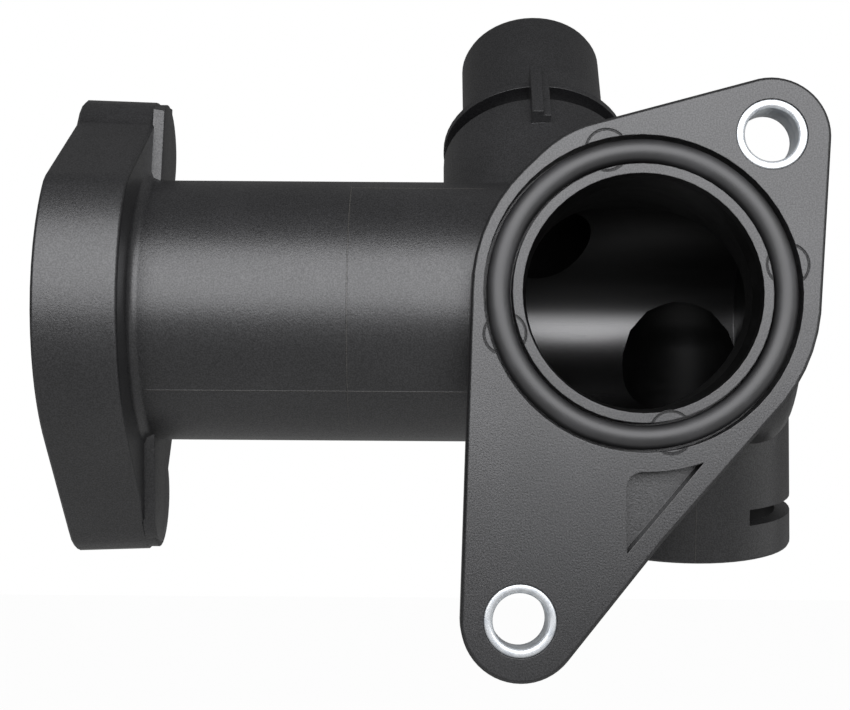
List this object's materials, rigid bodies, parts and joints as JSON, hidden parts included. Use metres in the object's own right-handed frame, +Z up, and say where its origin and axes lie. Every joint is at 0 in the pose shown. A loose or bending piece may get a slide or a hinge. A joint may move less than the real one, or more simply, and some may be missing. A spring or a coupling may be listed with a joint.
{
  "type": "coolant flange",
  "caption": "Moulded coolant flange that joins an engine port to a flanged pipe, a hose nozzle and a plug-in sensor port.",
  "frame": {"origin": "centre of the round engine port on the engine plate's mating face", "axes": "-Y points out of the engine plate's mating face towards the engine, the flanged pipe runs towards -X, +Z is up and the sensor port hangs towards -Z"},
  "size_m": [0.1039, 0.0607, 0.0964],
  "materials": {
    "glass_filled_plastic": "fine matt grain",
    "black_rubber": "satin",
    "plated_steel": "bright zinc plate"
  },
  "bodies": {
    "root": {"housing": "glass_filled_plastic", "engine_port_seal": "black_rubber", "pipe_flange_seal": "black_rubber", "upper_plate_bush": "plated_steel", "lower_plate_bush": "plated_steel", "upper_pipe_flange_insert": "plated_steel", "lower_pipe_flange_insert": "plated_steel"}
  },
  "joints": []
}
